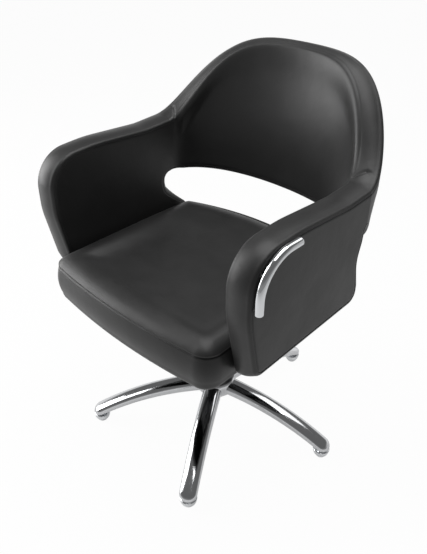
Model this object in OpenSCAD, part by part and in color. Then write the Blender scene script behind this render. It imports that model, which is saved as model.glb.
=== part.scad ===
/* [Seat] */
// Width of the seat cushion
seat_w = 470; // [430:1:480]
// Distance from the column's axis to the middle of the seat's front edge
seat_front = 286; // [270:1:310]
// Distance from the column's axis to the middle of the seat's rear edge
seat_rear = 188; // [180:1:200]
// How far the front edge falls back at the seat's sides
seat_bow = 18.5; // [8:0.5:30]
// Corner radius of the seat's front corners, seen from above
seat_corner_r = 39; // [30:1:60]
// Height of the seat's underside above the floor
seat_bottom = 392; // [380:1:410]
// Height of the sewn seam round the seat's front edge
seat_seam = 481; // [470:1:490]
// Height of the seat's raised front roll
seat_top = 501; // [494:1:510]
// Depth of the dished middle of the seat below the roll
seat_dish = 11; // [0:1:20]
// How much lower the top's rear edge lies than its front roll
seat_rear_drop = 8; // [2:1:12]

/* [Arms] */
// Gap between the seat cushion and each arm
side_gap = 7; // [5:0.5:20]
// Thickness of the arms
wall_t = 57; // [50:1:66]
// Height of the arm's level top
arm_top = 703; // [680:1:720]
// Height of the arm's lower edge on its outer face
arm_bottom = 447; // [442:1:458]
// Height of the arm's lower edge on its inner face
arm_under = 415; // [400:1:440]
// Distance from the column's axis to the front of the arm
arm_front = 239; // [225:1:255]
// Radius of the arm's front top corner
arm_front_r = 78; // [60:1:90]
// Radius of the arm's two lower corners
arm_low_r = 24; // [16:1:30]
// Distance from the column's axis to the arm's lower rear edge on its outer face
arm_rear = 93; // [88:1:97]
// The same distance on the arm's inner face
arm_wrap = 150; // [130:1:160]
// Rounding of the arm's sewn edges
arm_edge_r = 8; // [4:1:12]

/* [Back] */
// Distance from the column's axis to the seam between arm and back
seam_y = 100; // [98:1:110]
// Height of the seam's top
seam_top = 712; // [704:1:730]
// Height of the back's lower edge, which is the top of the slot
slot_top = 572; // [560:1:585]
// Distance from the seam to the back's front face at its lower edge
back_depth = 111; // [100:1:125]
// Lean of the back, in degrees
back_lean = 8.5; // [4:0.1:12]
// Height of the back's top above the floor
back_top = 885; // [860:1:910]
// Thickness of the back at its middle
back_t = 45; // [42:1:57]
// Rounding of the back's top roll
back_roll_r = 14; // [10:1:18]

/* [Arm bar] */
// Diameter of the bright bar on the left arm
bar_d = 16; // [14:1:20]
// Gap between the bar and the arm's outer face
bar_gap = 1; // [1:0.5:6]
// Length of the bar's level end
bar_level = 26; // [16:1:60]
// Length of the bar's upright end
bar_drop = 24; // [16:1:40]

/* [Base] */
// Distance from the column's axis to the centre of each glide
base_r = 296; // [260:1:330]
// Turn of the first leg from the front towards the right, in degrees
base_turn = 31.4; // [20:0.1:40]
// Width of a leg at the hub
leg_root_w = 46; // [40:1:50]
// Width of a leg at its tip
leg_tip_w = 41; // [36:1:44]
// Height of a leg's section at the hub
leg_root_h = 36; // [30:1:40]
// Height of a leg's section at its tip
leg_tip_h = 24; // [20:1:28]
// Height of a leg's centre line above the floor at the hub
leg_root_z = 103; // [96:1:110]
// Radius of a glide
glide_r = 20; // [16:1:20]
// Radius of a glide's lower end
glide_foot_r = 15; // [13:1:16]
// Height of a glide
glide_h = 22; // [18:1:26]
// Distance from the column's axis to the hub's flats
hub_flat = 46; // [44:1:52]
// Height of the hub
hub_h = 46; // [42:1:52]

/* [Lift] */
// Travel of the lift
lift_travel = 130; // [80:1:140]
// Outer radius of the pump's cylinder
pump_r = 34; // [32:1:36]
// Wall of the pump's cylinder
pump_wall = 9; // [7:1:10]
// Radius of the lift's piston rod
rod_r = 18; // [15:1:19]
// Radius of the spigot that the seat turns on
spigot_r = 14; // [10:1:15]
// Travel of the foot pedal, in degrees
pedal_travel = 12; // [8:1:14]
// Distance from the column's axis to the middle of the pedal's pad
pedal_reach = 225; // [190:1:240]

/* [Hidden] */
leg_count = 5;
leg_step = 360 / leg_count;
fit = 0.05;
over = 1;
steps = 64;

// Screws and pins, shared by all that they hold
bolt_r = 4;
bolt_head_r = 6.5;
bolt_head_h = 5;
flat_head_r = 7;
flat_head_h = 2;

// Base
leg_tip_z = glide_h + leg_tip_h / 2;
leg_flat_r = 20;
leg_span = base_r - leg_flat_r;
leg_fall = leg_root_z - leg_tip_z;
leg_arc_r = (leg_span * leg_span + leg_fall * leg_fall) / (2 * leg_fall);
leg_power = 2.4;
leg_stations = 11;
leg_tip_stations = 5;
leg_tip_arc = 84;
leg_sides = 20;
hub_bevel = 5;
hub_low = leg_root_z - hub_h / 2;
hub_top = hub_low + hub_h;
glide_lip = 2;
boss_r = glide_r - glide_lip;
boss_sink = leg_tip_h / 2;
stem_r = 5;
stem_h = 10;
pad_h = 4;
pad_margin = 3;
pad_r = glide_foot_r - pad_margin;
leg_bolt_reach = 18;
leg_bolt_sink = 6;

// Lift
pump_low = hub_low;
pump_end_t = 10;
pump_bore_r = pump_r - pump_wall;
piston_head_h = 60;
piston_rest_gap = 2;
piston_top_gap = 4;
seal_h = 6;
head_low = pump_low + pump_end_t + piston_rest_gap;
bore_top = head_low + piston_head_h + lift_travel + piston_top_gap;
tube_top = bore_top + seal_h;
gland_h = 10;
gland_spigot_h = 3;
gland_recess_r = pump_bore_r + gland_spigot_h;
collar_r = 46;
collar_h = 50;
collar_top = hub_top + collar_h;
plate_t = 4;
plate_w = 200;
plate_hole_pitch = 150;
plate_low = seat_bottom - plate_t;
washer_h = 4;
cover_top_t = 4;
cover_gap = 2;
cover_wall = 2;
cover_in_r = pump_r + cover_gap;
cover_out_r = cover_in_r + cover_wall;
cover_low = collar_top + cover_gap;
socket_h = 50;
socket_wall = 10;
socket_low = plate_low - socket_h;
washer_low = socket_low - washer_h;
cover_top = washer_low;
shoulder = cover_top - cover_top_t;
spigot_top = plate_low - cover_gap;

// Pedal
pedal_turn = base_turn + leg_step * leg_count / 2;
pin_r = 5;
pin_clear = 14;
pin_reach = collar_r + pin_clear;
pin_z = hub_top + collar_h / 2;
ear_t = 6;
ear_r = 13;
ear_gap = 16;
boss_pedal_r = 11;
pedal_t = ear_gap - over;
pedal_bar_h = 11;
pedal_fall = 62;
pedal_knee = 60;
pedal_pad_l = 50;
pedal_pad_w = 60;
pedal_pad_h = 12;
pedal_flat_h = 9;
pedal_z = pin_z - pedal_fall;

// Seat
seat_half = seat_w / 2;
rear_start = 58;
rear_power = 2.7;
board_t = 18;
board_inset = 29;
seat_low_r = 25;
seat_bulge = 5;
seat_side_bulge = 2;
seat_bulge_run = 80;
seat_bulge_share = 0.5;
seat_edge_r = 18;
seat_seam_nip = 3;
seat_roll_share = 0.6;
seat_crown_shares = [[0.07, 0.25], [0.12, 0], [0.19, 0.2], [0.25, 0.55], [0.32, 0.85], [0.42, 1], [0.86, 1]];
front_points = 8;
side_points = 3;
rear_points = 18;
corner_points = 5;

// Arms and back
arm_in = seat_half + side_gap;
arm_out = arm_in + wall_t;
front_low_set = 24;
front_under_set = 32;
front_mid_bulge = 1;
front_mid_fall = 124;
front_mid_r = 190;
front_low_y = -arm_front + front_low_set;
front_under_y = -arm_front + front_under_set;
front_mid_y = -arm_front - front_mid_bulge;
front_mid_z = arm_top - front_mid_fall;
level_end = 62;
level_r = 150;
level_y = seam_y - level_end;
notch_depth = 24;
notch_r = 18;
notch_low_r = 42;
notch_low_fall = 41;
notch_rise = 20;
notch_share = 0.46;
wrap_foot_fall = 100;
wrap_foot_r = 20;
waist_depth = 21;
waist_r = 90;
waist_fall = 15;
heel_r = 34;
heel_top_fall = 77;
heel_top_r = 30;
slot_rise = 56;
notch_y = seam_y - notch_depth;
notch_low = slot_top - notch_low_fall;
wrap_foot = slot_top - wrap_foot_fall;
waist_y = seam_y - waist_depth;
waist_z = slot_top - waist_fall;
heel_top = slot_top - heel_top_fall;
arc_points = 6;
back_power = 2.1;
back_high_power = 1.97;
back_thin_power = 0.7;
top_power = 4.1;
band_crown = 3;
edge_shares = [0.14, 0.5, 1];
back_stations = 36;
low_taper = 17;
taper_rise = 118;
taper_from = 13;
taper_hold = 22;
taper_till = 58;
face_shares = [0.14, 0.32, 0.5, 0.68, 0.86];
face_crown = 7;
face_valley = 4;
seam_crown = 1;
core_t = 20;
core_margin = 24;
core_skin = 7;
arm_heart = [0, -core_margin, 2 * core_margin];
core_in = (wall_t - core_t) / 2;
core_out = core_in + core_t;
core_top = arm_top - core_skin;
core_rise = slot_rise * core_out / wall_t;
core_shift = 5;
dowel_r = 4;
dowel_half = 13;
dowel_margin = 15;
dowel_low = slot_top + core_margin + core_rise + dowel_margin;
dowel_high = core_top - dowel_margin;

// Brackets
bracket_t = 4;
bracket_w = 90;
bracket_rise = 30;
bracket_hole_rise = 12;
bracket_in = seat_half - bracket_w;
bracket_top = arm_bottom + bracket_rise;
bracket_front = -110;
bracket_rear = 60;
bracket_hole_z = arm_bottom + core_skin + bracket_hole_rise;
bracket_hole_in = 30;
bracket_bolt_in = 25;
bracket_bolt_short = 6;
bracket_bolt_reach = core_out - bracket_bolt_short;

// Bar
bar_r = bar_d / 2;
bar_x = arm_out + bar_gap + bar_r;
bar_bend_inset = 5;
bar_front_inset = 12;
bar_top_inset = 3;
bar_bend_r = arm_front_r - bar_bend_inset;
bar_front = -arm_front + bar_front_inset;
bar_top = arm_top - bar_top_inset;
bar_turn_y = bar_front + bar_bend_r;
bar_turn_z = bar_top - bar_bend_r;
stud_r = 4;
stud_turn = 55;
stud_inset = 8;
stud_sink = 4;
stud_grip = 14;
stud_h = bar_x - arm_in - core_out + stud_grip - stud_sink;

function unit(v) = v / norm(v);
function mix(a, b, s) = a + (b - a) * s;
function curve_power(v, n) = sign(v) * pow(abs(v), 2 / n);

// Points of an arc that rounds corner b between a and c
function corner_arc(a, b, c, r, count) =
    let (
        toward_a = unit(a - b),
        toward_c = unit(c - b),
        half = acos(toward_a * toward_c) / 2,
        centre = b + unit(toward_a + toward_c) * r / sin(half),
        from = b + toward_a * r / tan(half) - centre,
        till = b + toward_c * r / tan(half) - centre,
        turn = 180 - 2 * half
    )
    [for (i = [0:count]) centre
        + (sin(turn * (1 - i / count)) * from + sin(turn * i / count) * till) / sin(turn)];

// Outline whose corners [[x, y], radius] are rounded
function rounded(corners, count) =
    [for (i = [0:len(corners) - 1])
        let (
            before = corners[(i + len(corners) - 1) % len(corners)][0],
            here = corners[i],
            after = corners[(i + 1) % len(corners)][0]
        )
        each here[1] == 0 ? [here[0]] : corner_arc(before, here[0], after, here[1], count)];

// Unit normals that point into an anticlockwise outline
function inward(outline) =
    [for (i = [0:len(outline) - 1])
        let (
            ahead = outline[(i + 1) % len(outline)],
            behind = outline[(i + len(outline) - 1) % len(outline)],
            along = unit(unit(ahead - outline[i]) + unit(outline[i] - behind))
        )
        [-along[1], along[0]]];

function middle(ring) = [for (p = ring) 1] * ring / len(ring);

// Closed skin through rings of points, each end fanned from its ring's middle, moved by a shift
module skin(rings, shift = [0, 0, 0]) {
    count = len(rings[0]);
    last = len(rings) - 1;
    low = (last + 1) * count;
    polyhedron(
        points = concat(
            [for (ring = rings) each ring],
            [middle(rings[0]) + shift, middle(rings[last]) + shift]),
        faces = concat(
            [for (i = [0:last - 1], j = [0:count - 1])
                [i * count + j, (i + 1) * count + j, i * count + (j + 1) % count]],
            [for (i = [0:last - 1], j = [0:count - 1])
                [(i + 1) * count + j, (i + 1) * count + (j + 1) % count, i * count + (j + 1) % count]],
            [for (j = [0:count - 1]) [low, j, (j + 1) % count]],
            [for (j = [0:count - 1]) [low + 1, last * count + (j + 1) % count, last * count + j]]),
        convexity = 6);
}

// Base

// Height of a leg's centre line at a distance from the column's axis
function leg_z(r) = leg_root_z - leg_arc_r
    + sqrt(leg_arc_r * leg_arc_r - pow(max(r - leg_flat_r, 0), 2));

// Slope of that line, in degrees
function leg_slope(r) = asin(max(r - leg_flat_r, 0) / leg_arc_r);

function leg_ring(r, push, scale, slope) =
    let (
        share = (r - hub_flat) / (base_r - hub_flat),
        w = mix(leg_root_w, leg_tip_w, share) * scale,
        h = mix(leg_root_h, leg_tip_h, share) * scale
    )
    [for (j = [0:leg_sides - 1])
        let (
            a = 360 * j / leg_sides,
            across = curve_power(cos(a), leg_power) * w / 2,
            up = curve_power(sin(a), leg_power) * (sin(a) > 0 ? h : h / scale) / 2
        )
        [r + push * cos(slope) + up * sin(slope), across, leg_z(r) - push * sin(slope) + up * cos(slope)]];

leg_rings = concat(
    [leg_ring(hub_flat, 0, 1, 0)],
    [for (i = [1:leg_stations])
        let (r = mix(hub_flat, base_r, i / leg_stations))
        leg_ring(r, 0, 1, leg_slope(r))],
    [for (i = [1:leg_tip_stations])
        let (a = leg_tip_arc * i / leg_tip_stations)
        leg_ring(base_r, sin(a) * leg_tip_w / 2, cos(a), leg_slope(base_r))]);

module cylinder_at_tip(r, low, h) {
    translate([base_r, 0, low]) cylinder(r = r, h = h, $fn = steps);
}

module leg(k) {
    color("silver") rotate([0, 0, base_turn + leg_step * (k - 1) - 90]) difference() {
        union() {
            skin(leg_rings);
            cylinder_at_tip(boss_r, glide_h, boss_sink);
        }
        cylinder_at_tip(glide_r + glide_lip, 0, glide_h);
        cylinder_at_tip(stem_r + fit, glide_h - over, stem_h + over);
        translate([hub_flat - over, 0, leg_root_z]) rotate([0, 90, 0])
            cylinder(r = bolt_r, h = leg_bolt_reach + over, $fn = steps);
    }
}

module leg_bolt() {
    translate([pump_r + fit, 0, leg_root_z]) rotate([0, 90, 0])
        cylinder(r = bolt_head_r, h = leg_bolt_sink, $fn = steps);
    translate([pump_r + fit + leg_bolt_sink, 0, leg_root_z]) rotate([0, 90, 0])
        cylinder(r = bolt_r, h = hub_flat - pump_r - fit - leg_bolt_sink + leg_bolt_reach, $fn = steps);
}

module leg_bolts() {
    color("dimgray") for (k = [1:leg_count])
        rotate([0, 0, base_turn + leg_step * (k - 1) - 90]) leg_bolt();
}

module hub() {
    color("silver") difference() {
        intersection() {
            translate([0, 0, hub_low]) rotate([0, 0, base_turn - 90 + leg_step / 2])
                linear_extrude(hub_h) circle(r = hub_flat / cos(leg_step / 2), $fn = leg_count);
            translate([0, 0, hub_low]) rotate_extrude($fn = steps) polygon([
                [0, 0], [hub_flat, 0], [hub_flat + hub_bevel, hub_bevel],
                [hub_flat + hub_bevel, hub_h - hub_bevel], [hub_flat, hub_h], [0, hub_h]]);
        }
        translate([0, 0, hub_low - over]) cylinder(r = pump_r + fit, h = hub_h + 2 * over, $fn = steps);
        for (k = [1:leg_count]) rotate([0, 0, base_turn + leg_step * (k - 1) - 90])
            translate([0, 0, leg_root_z]) rotate([0, 90, 0]) {
                cylinder(r = bolt_r, h = hub_flat + over, $fn = steps);
                cylinder(r = bolt_head_r, h = pump_r + fit + leg_bolt_sink, $fn = steps);
            }
    }
}

module at_glide(k) {
    translate([base_r * sin(base_turn + leg_step * (k - 1)), -base_r * cos(base_turn + leg_step * (k - 1)), 0])
        children();
}

module glide(k) {
    color("silver") at_glide(k) rotate_extrude($fn = steps) polygon([
        [0, pad_h], [pad_r, pad_h], [pad_r, glide_lip], [glide_foot_r - glide_lip / 2, glide_lip],
        [glide_foot_r, glide_lip * 2], [glide_r, glide_h - glide_lip], [glide_r, glide_h],
        [stem_r, glide_h], [stem_r, glide_h + stem_h], [0, glide_h + stem_h]]);
}

module glide_pads() {
    color("black") for (k = [1:leg_count]) at_glide(k) cylinder(r = pad_r, h = pad_h, $fn = steps);
}

// Lift

module ring(low, high, outer, inner) {
    translate([0, 0, low]) difference() {
        cylinder(r = outer, h = high - low, $fn = steps);
        translate([0, 0, -over]) cylinder(r = inner, h = high - low + 2 * over, $fn = steps);
    }
}

module on_pedal_pin() {
    rotate([0, 0, pedal_turn - 90]) translate([pin_reach, 0, pin_z]) rotate([90, 0, 0]) children();
}

module pump_body() {
    ear_w = ear_gap + 2 * ear_t;
    color("gray") difference() {
        union() {
            translate([0, 0, pump_low]) cylinder(r = pump_r, h = tube_top - pump_low, $fn = steps);
            translate([0, 0, hub_top]) cylinder(r = collar_r, h = collar_h, $fn = steps);
            on_pedal_pin() cylinder(r = ear_r, h = ear_w, center = true, $fn = steps);
            rotate([0, 0, pedal_turn - 90]) translate([pump_r, -ear_w / 2, pin_z - ear_r])
                cube([pin_reach - pump_r, ear_w, 2 * ear_r]);
        }
        rotate([0, 0, pedal_turn - 90]) translate([collar_r + over, -ear_gap / 2, pin_z - ear_r - over])
            cube([pin_reach, ear_gap, 2 * ear_r + 2 * over]);
        on_pedal_pin() cylinder(r = pin_r + fit / 2, h = ear_w + 2 * over, center = true, $fn = steps);
        translate([0, 0, pump_low + pump_end_t])
            cylinder(r = pump_bore_r, h = tube_top, $fn = steps);
        translate([0, 0, tube_top - gland_spigot_h])
            cylinder(r = gland_recess_r, h = gland_spigot_h + over, $fn = steps);
    }
}

module gland_nut() {
    color("silver") union() {
        ring(tube_top, tube_top + gland_h, pump_r, rod_r + fit);
        ring(tube_top - gland_spigot_h, tube_top, gland_recess_r - fit, rod_r + fit);
    }
}

module piston_seal() {
    color("black") ring(tube_top - seal_h, tube_top - gland_spigot_h, pump_bore_r, rod_r + fit);
}

module piston() {
    color("silver") union() {
        translate([0, 0, head_low]) cylinder(r = pump_bore_r - fit, h = piston_head_h, $fn = steps);
        translate([0, 0, head_low]) cylinder(r = rod_r, h = shoulder - head_low, $fn = steps);
        translate([0, 0, head_low]) cylinder(r = spigot_r, h = spigot_top - head_low, $fn = steps);
    }
}

module column_cover() {
    color("silver") union() {
        ring(cover_low, cover_top, cover_out_r, cover_in_r);
        ring(shoulder, cover_top, cover_out_r, spigot_r + fit);
    }
}

module swivel_washer() {
    color("ivory") ring(washer_low, socket_low, spigot_r + socket_wall, spigot_r + fit);
}

module pedal_pin() {
    color("silver") on_pedal_pin()
        cylinder(r = pin_r, h = ear_gap + 2 * ear_t + 2 * over, center = true, $fn = steps);
}

module pedal_arm() {
    pad_start = pedal_reach - pin_reach - pedal_pad_l / 2;
    pad_end = pad_start + pedal_pad_l;
    color("silver") on_pedal_pin() difference() {
        union() {
            cylinder(r = boss_pedal_r, h = pedal_t, center = true, $fn = steps);
            translate([0, 0, -pedal_t / 2]) linear_extrude(pedal_t) polygon([
                [0, -pedal_bar_h / 2], [0, pedal_bar_h / 2], [pedal_knee, pedal_bar_h / 2],
                [pad_start, pedal_flat_h - pedal_fall], [pad_end, pedal_flat_h - pedal_fall],
                [pad_end, -pedal_fall], [pad_start - pedal_bar_h, -pedal_fall],
                [pedal_knee - pedal_bar_h, -pedal_bar_h / 2]]);
        }
        cylinder(r = pin_r + fit, h = pedal_t + 2 * over, center = true, $fn = steps);
    }
}

module pedal_pad() {
    color("black") rotate([0, 0, pedal_turn - 90])
        translate([pedal_reach - pedal_pad_l / 2, -pedal_pad_w / 2, pedal_z + pedal_flat_h])
            cube([pedal_pad_l, pedal_pad_w, pedal_pad_h]);
}

// Seat

module at_plate_holes() {
    for (x = [-1, 1], y = [-1, 1])
        translate([x * plate_hole_pitch / 2, y * plate_hole_pitch / 2, 0]) children();
}

module seat_plate() {
    color("dimgray") difference() {
        union() {
            translate([-plate_w / 2, -plate_w / 2, plate_low]) cube([plate_w, plate_w, plate_t]);
            translate([0, 0, socket_low])
                cylinder(r = spigot_r + socket_wall, h = socket_h + plate_t / 2, $fn = steps);
        }
        translate([0, 0, socket_low - over])
            cylinder(r = spigot_r + fit, h = socket_h + over, $fn = steps);
        at_plate_holes() translate([0, 0, plate_low - over])
            cylinder(r = bolt_r + fit, h = plate_t + 2 * over, $fn = steps);
    }
}

module plate_bolts() {
    color("silver") at_plate_holes() {
        translate([0, 0, plate_low - bolt_head_h]) cylinder(r = bolt_head_r, h = bolt_head_h, $fn = steps);
        translate([0, 0, plate_low - bolt_head_h])
            cylinder(r = bolt_r, h = bolt_head_h + plate_t + board_t - fit, $fn = steps);
    }
}

// Seat outline from above, anticlockwise
function seat_outline() =
    let (
        flat = seat_half - seat_corner_r,
        corner_y = -seat_front + seat_bow * pow(flat / seat_half, 2) + seat_corner_r,
        rear_depth = seat_rear - rear_start
    )
    concat(
        [for (i = [0:front_points])
            let (x = mix(-flat, flat, i / front_points))
            [x, -seat_front + seat_bow * pow(x / seat_half, 2)]],
        [for (i = [1:corner_points])
            let (a = 90 * i / corner_points)
            [flat + seat_corner_r * sin(a), corner_y - seat_corner_r * cos(a)]],
        [for (i = [1:side_points]) [seat_half, mix(corner_y, rear_start, i / (side_points + 1))]],
        [for (i = [0:rear_points])
            let (a = 180 * i / rear_points)
            [seat_half * curve_power(cos(a), rear_power),
                rear_start + rear_depth * curve_power(sin(a), rear_power)]],
        [for (i = [1:side_points]) [-seat_half, mix(rear_start, corner_y, i / (side_points + 1))]],
        [for (i = [0:corner_points - 1])
            let (a = 90 * i / corner_points)
            [-flat - seat_corner_r * cos(a), corner_y - seat_corner_r * sin(a)]]);

seat_points = seat_outline();
seat_inward = inward(seat_points);
seat_middle = [0, (seat_rear - seat_front) / 2];

function seat_ring(inset, z) =
    [for (i = [0:len(seat_points) - 1])
        let (p = seat_points[i] + seat_inward[i] * inset) [p[0], p[1], z]];

// Ring round the border's middle, which swells more ahead of the brackets
function seat_border_ring(z) =
    [for (i = [0:len(seat_points) - 1])
        let (
            front = ease((bracket_front - seat_points[i][1]) / seat_bulge_run),
            p = seat_points[i] - seat_inward[i] * mix(seat_side_bulge, seat_bulge, front)
        )
        [p[0], p[1], z]];

// Ring of the seat's top, which falls towards the rear
function seat_crown_ring(inset, share, z) =
    [for (i = [0:len(seat_points) - 1])
        let (
            q = mix(seat_points[i] + seat_inward[i] * inset, seat_middle, share),
            back = max((q[1] - seat_middle[1]) / (seat_rear - seat_middle[1]), 0)
        )
        [q[0], q[1], z - seat_rear_drop * back * back]];

seat_rings = concat(
    [for (a = [90, 60, 30, 0])
        seat_ring(seat_low_r * (1 - cos(a)), seat_bottom + seat_low_r * (1 - sin(a)))],
    [
        seat_border_ring(mix(seat_bottom + seat_low_r, seat_seam, seat_bulge_share)),
        seat_ring(0, seat_seam - seat_edge_r / 2),
        seat_ring(seat_seam_nip, seat_seam),
        seat_crown_ring(seat_edge_r / 2, 0, mix(seat_seam, seat_top, seat_roll_share))
    ],
    [for (s = seat_crown_shares) seat_crown_ring(0, s[0], seat_top - seat_dish * s[1])]);

module board_shape(grow) {
    linear_extrude(board_t + grow) polygon([for (i = [0:len(seat_points) - 1])
        seat_points[i] + seat_inward[i] * board_inset]);
}

module seat_board() {
    color("burlywood") difference() {
        translate([0, 0, seat_bottom]) board_shape(0);
        at_plate_holes() translate([0, 0, seat_bottom - over])
            cylinder(r = bolt_r + fit, h = board_t + 2 * over, $fn = steps);
        at_bracket_holes() translate([0, 0, seat_bottom - over])
            cylinder(r = bolt_r + fit, h = board_t + 2 * over, $fn = steps);
    }
}

module seat_cushion() {
    color("#2b2b2d") difference() {
        skin(seat_rings);
        translate([0, 0, seat_bottom - over]) board_shape(over);
    }
}

module at_bracket_holes() {
    for (side = [-1, 1], y = [bracket_front + bracket_hole_in, bracket_rear - bracket_hole_in])
        translate([side * (bracket_in + bracket_bolt_in), y, 0]) children();
}

module at_arm_holes() {
    for (y = [bracket_front + bracket_hole_in, bracket_rear - bracket_hole_in])
        translate([arm_in - bracket_t, y, bracket_hole_z]) rotate([0, 90, 0]) children();
}

module bracket() {
    color("dimgray") difference() {
        union() {
            translate([bracket_in, bracket_front, seat_bottom - bracket_t])
                cube([arm_in - bracket_in, bracket_rear - bracket_front, bracket_t]);
            translate([arm_in - bracket_t, bracket_front, seat_bottom - bracket_t])
                cube([bracket_t, bracket_rear - bracket_front, bracket_top - seat_bottom + bracket_t]);
        }
        at_bracket_holes() translate([0, 0, seat_bottom - bracket_t - over])
            cylinder(r = bolt_r + fit, h = bracket_t + 2 * over, $fn = steps);
        at_arm_holes() translate([0, 0, -over]) {
            cylinder(r = bolt_r + fit, h = bracket_t + 2 * over, $fn = steps);
            cylinder(r = flat_head_r + fit, h = flat_head_h + over, $fn = steps);
        }
    }
}

module bracket_bolts() {
    color("silver") {
        at_bracket_holes() {
            translate([0, 0, seat_bottom - bracket_t - bolt_head_h])
                cylinder(r = bolt_head_r, h = bolt_head_h, $fn = steps);
            translate([0, 0, seat_bottom - bracket_t - bolt_head_h])
                cylinder(r = bolt_r, h = bolt_head_h + bracket_t + board_t - fit, $fn = steps);
        }
        for (side = [0, 1]) mirror([side, 0, 0]) at_arm_holes() {
            cylinder(r = flat_head_r, h = flat_head_h, $fn = steps);
            cylinder(r = bolt_r, h = bracket_t + bracket_bolt_reach, $fn = steps);
        }
    }
}

// Arms and back

// Inset of a padded edge at a depth below the inner face, where the pad is t thick
function edge_inset(depth, r, t) =
    let (near = min(depth, t - depth) / r)
    (near < 1 ? r * (1 - sqrt(1 - pow(1 - near, 2))) : 0)
    - band_crown * 4 * depth * (t - depth) / (t * t);

function edge_depths(r, t) =
    let (near = [for (s = edge_shares) r * s])
    concat([0], near, [t / 2], [for (i = [1:len(near)]) t - near[len(near) - i]], [t]);

// Arm outlines from the side as [y, z], anticlockwise, from the seam's foot
arm_outer = rounded([
    [[seam_y, slot_top + slot_rise], 0],
    [[seam_y, seam_top], 0],
    [[level_y, arm_top], level_r],
    [[-arm_front, arm_top], arm_front_r],
    [[front_mid_y, front_mid_z], front_mid_r],
    [[front_low_y, arm_bottom], arm_low_r],
    [[arm_rear, arm_bottom], heel_r],
    [[arm_rear, heel_top], heel_top_r],
    [[waist_y, waist_z], waist_r],
    [[mix(waist_y, seam_y, notch_share), slot_top + notch_rise], notch_r]
], arc_points);
arm_inner = rounded([
    [[seam_y, slot_top], 0],
    [[seam_y, seam_top], 0],
    [[level_y, arm_top], level_r],
    [[-arm_front, arm_top], arm_front_r],
    [[front_mid_y, front_mid_z], front_mid_r],
    [[front_under_y, arm_under], arm_low_r],
    [[arm_wrap, arm_under], arm_low_r],
    [[arm_wrap, wrap_foot], wrap_foot_r],
    [[notch_y, notch_low], notch_low_r],
    [[notch_y, slot_top], notch_r]
], arc_points);

function arm_ring(depth) =
    let (
        outline = [for (i = [0:len(arm_outer) - 1]) mix(arm_inner[i], arm_outer[i], depth / wall_t)],
        normals = inward(outline),
        inset = edge_inset(depth, arm_edge_r, wall_t)
    )
    [for (i = [0:len(outline) - 1])
        let (p = outline[i] + (i == 0 ? [0, 1] : i == 1 ? [0, -1] : normals[i]) * inset)
        [arm_in + depth, p[0], p[1]]];

arm_rings = [for (depth = edge_depths(arm_edge_r, wall_t)) arm_ring(depth)];

module arm_core_shape(grow) {
    rotate([90, 0, 90]) translate([0, 0, arm_in + core_in]) linear_extrude(core_t) polygon(rounded([
        [[seam_y + grow, slot_top + core_margin + core_rise], 0],
        [[seam_y + grow, core_top], 0],
        [[-arm_front + core_skin, core_top], arm_front_r - core_skin],
        [[front_mid_y + core_skin, front_mid_z], front_mid_r],
        [[front_low_y + core_skin, arm_bottom + core_skin], arm_low_r],
        [[notch_y - core_margin, arm_bottom + core_skin], 0],
        [[notch_y - core_margin, slot_top + core_margin], 0]
    ], arc_points));
}

module at_studs() {
    for (p = [
        [bar_turn_y - bar_bend_r * sin(stud_turn), bar_turn_z + bar_bend_r * cos(stud_turn)],
        [bar_front, bar_turn_z - bar_drop + stud_inset]])
        translate([arm_in + core_in, p[0], p[1]]) rotate([0, 90, 0]) children();
}

module arm_core(bar) {
    color("burlywood") difference() {
        arm_core_shape(0);
        at_dowels() cylinder(r = dowel_r + fit, h = 2 * (dowel_half + fit), center = true, $fn = steps);
        at_arm_holes() translate([0, 0, bracket_t + core_in - over])
            cylinder(r = bolt_r + fit, h = bracket_bolt_reach - core_in + over + fit, $fn = steps);
        if (bar) at_studs() translate([0, 0, core_t - stud_grip])
            cylinder(r = stud_r + fit, h = stud_grip + over, $fn = steps);
    }
}

module arm_pad(bar) {
    color("#2b2b2d") difference() {
        skin(arm_rings, arm_heart);
        arm_core_shape(over);
        at_arm_holes() cylinder(r = bolt_r + fit, h = bracket_t + core_in + over, $fn = steps);
        if (bar) at_studs() cylinder(r = stud_r + fit, h = wall_t, $fn = steps);
    }
}

// Point of the back at a station angle, a depth below the inner face and a height
function back_point(a, depth, z) =
    let (
        share = (z - slot_top) / (back_top - slot_top),
        n = mix(back_power, back_high_power, share)
    )
    [(arm_in + depth) * curve_power(cos(a), n),
        seam_y + (back_depth + (z - slot_top) * tan(back_lean) + depth) * curve_power(sin(a), n),
        z];

function back_rise(a) = 1 - pow(abs(cos(a)), top_power);

function back_edge(a) = mix(seam_top, back_top - band_crown, back_rise(a));

function back_wall(a) = mix(wall_t, back_t, pow(abs(sin(a)), back_thin_power));

function ease(x) = let (s = min(max(x, 0), 1)) s * s * (3 - 2 * s);

// Share of the slot's rise that is left at a station, and share of the taper over the slot
function rise_share(a) = 1 - ease(min(a, 180 - a) / taper_from);
function taper_share(a) = let (s = min(a, 180 - a))
    ease(s / taper_from) * (1 - ease((s - taper_hold) / (taper_till - taper_hold)));

function face_bulge(share, a) =
    mix(seam_crown, face_crown, sin(a)) * sin(180 * share) - face_valley * sin(a);

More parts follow.
